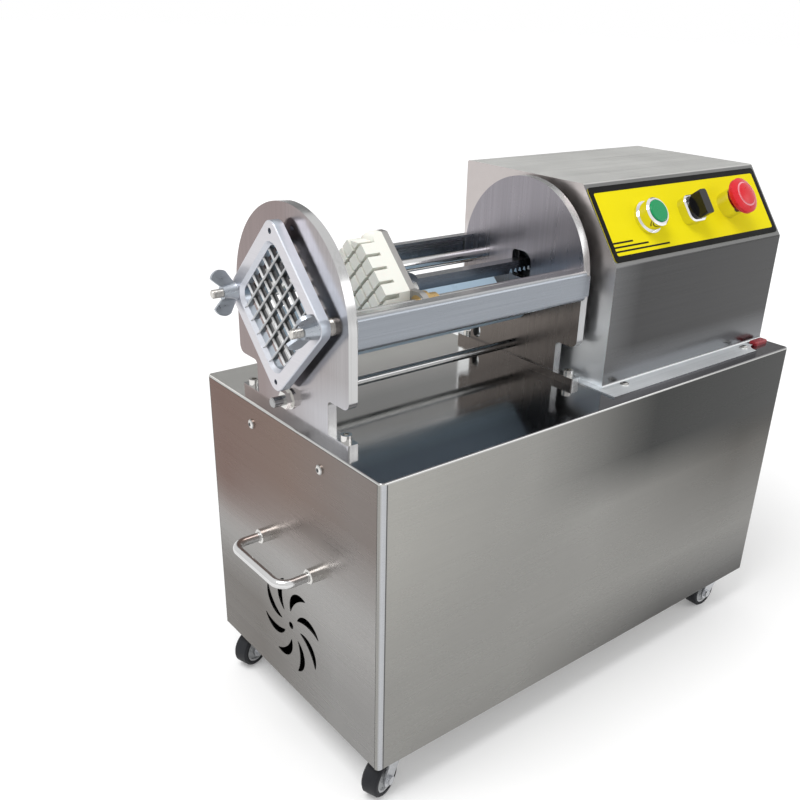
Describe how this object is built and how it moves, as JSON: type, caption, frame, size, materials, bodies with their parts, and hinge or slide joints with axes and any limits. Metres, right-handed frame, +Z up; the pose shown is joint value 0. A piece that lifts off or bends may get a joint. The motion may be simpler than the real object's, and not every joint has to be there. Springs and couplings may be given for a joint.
{
  "type": "electric vegetable strip cutter",
  "caption": "Steel cabinet on castors with arched head plates, a diamond knife grid, a slotted pusher on a rack bar and a sloping control housing.",
  "frame": {"origin": "on the floor under the middle of the bounding box", "axes": "+Z up, -X towards the knife grid, -Y towards the control side"},
  "size_m": [0.644, 0.3, 0.552],
  "materials": {
    "cabinet_steel": "brushed stainless sheet",
    "deck_steel": "polished stainless sheet",
    "plate_steel": "ground stainless plate",
    "bright_steel": "polished bars and fasteners",
    "knife_steel": "ground blade",
    "frame_aluminium": "satin machined aluminium",
    "pusher_plastic": "white acetal",
    "trough_plastic": "light blue sheet",
    "label_yellow": "printed film",
    "green_plastic": "glossy",
    "red_plastic": "glossy",
    "black_plastic": "satin",
    "housing_steel": "brushed stainless sheet",
    "zinc": "zinc plated",
    "cast_grey": "grey paint on castings",
    "motor_paint": "blue grey paint",
    "wheel_rim": "grey nylon",
    "wheel_tyre": "dark blue grey rubber",
    "red_rubber": "translucent red rubber",
    "bronze": "bronze bush"
  },
  "bodies": {
    "cabinet": {"cabinet_shell": "cabinet_steel", "front_panel": "cabinet_steel", "deck_plate": "deck_steel", "base_plate": "cabinet_steel", "cable_gland": "black_plastic", "panel_screws": "bright_steel", "handle_bar": "bright_steel", "handle_ferrules": "bright_steel", "front_head_plate": "plate_steel", "rear_head_plate": "plate_steel", "head_plate_bolts": "bright_steel", "near_rail": "plate_steel", "far_rail": "plate_steel", "feed_trough": "trough_plastic", "guide_rods": "bright_steel", "tie_rod": "bright_steel", "tie_rod_nuts": "bright_steel", "knife_frame": "frame_aluminium", "long_knives": "knife_steel", "cross_knives": "knife_steel", "frame_studs": "bright_steel", "gearbox_mount": "plate_steel", "gearbox": "cast_grey", "motor": "motor_paint", "bar_guide": "cast_grey", "switch_bracket": "zinc", "limit_switches": "black_plastic", "housing_shell": "housing_steel", "control_label": "label_yellow", "start_bezel": "bright_steel", "selector_bezel": "bright_steel", "estop_bezel": "bright_steel", "contact_blocks": "black_plastic", "red_bumper": "red_rubber", "castor_plates": "zinc"},
    "pusher": {"pusher_block": "pusher_plastic", "back_plate": "plate_steel", "guide_bushes": "bronze", "clevis": "bright_steel", "clevis_bolt": "bright_steel", "rack_bar": "bright_steel"},
    "pinion": {"pinion": "plate_steel"},
    "wing_nut_near": {"wing_nut_near": "bright_steel"},
    "wing_nut_far": {"wing_nut_far": "bright_steel"},
    "start_button": {"start_button": "green_plastic"},
    "selector_knob": {"selector_knob": "black_plastic"},
    "estop_cap": {"estop_cap": "red_plastic"},
    "castor_front_near": {"castor_fork_front_near": "zinc"},
    "wheel_front_near": {"castor_hub_front_near": "wheel_rim", "castor_tyre_front_near": "wheel_tyre"},
    "castor_front_far": {"castor_fork_front_far": "zinc"},
    "wheel_front_far": {"castor_hub_front_far": "wheel_rim", "castor_tyre_front_far": "wheel_tyre"},
    "castor_rear_near": {"castor_fork_rear_near": "zinc"},
    "wheel_rear_near": {"castor_hub_rear_near": "wheel_rim", "castor_tyre_rear_near": "wheel_tyre"},
    "castor_rear_far": {"castor_fork_rear_far": "zinc"},
    "wheel_rear_far": {"castor_hub_rear_far": "wheel_rim", "castor_tyre_rear_far": "wheel_tyre"}
  },
  "joints": [
    {"name": "pusher_slide", "type": "slide", "parent": "cabinet", "child": "pusher", "axis": [-1, 0, 0], "range_m": [-0.1, 0.087]},
    {"name": "pinion_spin", "type": "hinge", "parent": "cabinet", "child": "pinion", "pos_m": [0.107, 0, 0.439], "axis": [0, -1, 0], "range_deg": [-287, 250]},
    {"name": "wing_nut_near_spin", "type": "hinge", "parent": "cabinet", "child": "wing_nut_near", "pos_m": [-0.29, -0.067, 0.463], "axis": [-1, 0, 0], "continuous": true},
    {"name": "wing_nut_far_spin", "type": "hinge", "parent": "cabinet", "child": "wing_nut_far", "pos_m": [-0.29, 0.067, 0.463], "axis": [-1, 0, 0], "continuous": true},
    {"name": "start_press", "type": "slide", "parent": "cabinet", "child": "start_button", "axis": [0, 0.8029, -0.5961], "range_m": [0, 0.003], "stiffness_N_per_m": 800, "springref_m": -0.002},
    {"name": "selector_turn", "type": "hinge", "parent": "cabinet", "child": "selector_knob", "pos_m": [0.173, -0.0852, 0.5162], "axis": [0, -0.8029, 0.5961], "range_deg": [-90, 0]},
    {"name": "estop_press", "type": "slide", "parent": "cabinet", "child": "estop_cap", "axis": [0, 0.8029, -0.5961], "range_m": [0, 0.004], "stiffness_N_per_m": 1500, "springref_m": -0.002},
    {"name": "swivel_front_near", "type": "hinge", "parent": "cabinet", "child": "castor_front_near", "pos_m": [-0.244, -0.1255, 0.05], "axis": [0, 0, 1], "continuous": true},
    {"name": "roll_front_near", "type": "hinge", "parent": "castor_front_near", "child": "wheel_front_near", "pos_m": [-0.26232, -0.13217, 0.02], "axis": [0.342, -0.9397, 0], "continuous": true},
    {"name": "swivel_front_far", "type": "hinge", "parent": "cabinet", "child": "castor_front_far", "pos_m": [-0.244, 0.1255, 0.05], "axis": [0, 0, 1], "continuous": true},
    {"name": "roll_front_far", "type": "hinge", "parent": "castor_front_far", "child": "wheel_front_far", "pos_m": [-0.26255, 0.11947, 0.02], "axis": [0.309, -0.9511, 0], "continuous": true},
    {"name": "swivel_rear_near", "type": "hinge", "parent": "cabinet", "child": "castor_rear_near", "pos_m": [0.288, -0.1255, 0.05], "axis": [0, 0, 1], "continuous": true},
    {"name": "roll_rear_near", "type": "hinge", "parent": "castor_rear_near", "child": "wheel_rear_near", "pos_m": [0.2685, -0.1255, 0.02], "axis": [0, -1, 0], "continuous": true},
    {"name": "swivel_rear_far", "type": "hinge", "parent": "cabinet", "child": "castor_rear_far", "pos_m": [0.288, 0.1255, 0.05], "axis": [0, 0, 1], "continuous": true},
    {"name": "roll_rear_far", "type": "hinge", "parent": "castor_rear_far", "child": "wheel_rear_far", "pos_m": [0.26869, 0.12821, 0.02], "axis": [-0.1392, -0.9903, 0], "continuous": true}
  ],
  "couplings": [
    {"joint": "pinion_spin", "follows": "pusher_slide", "rad_per_m": 50}
  ]
}
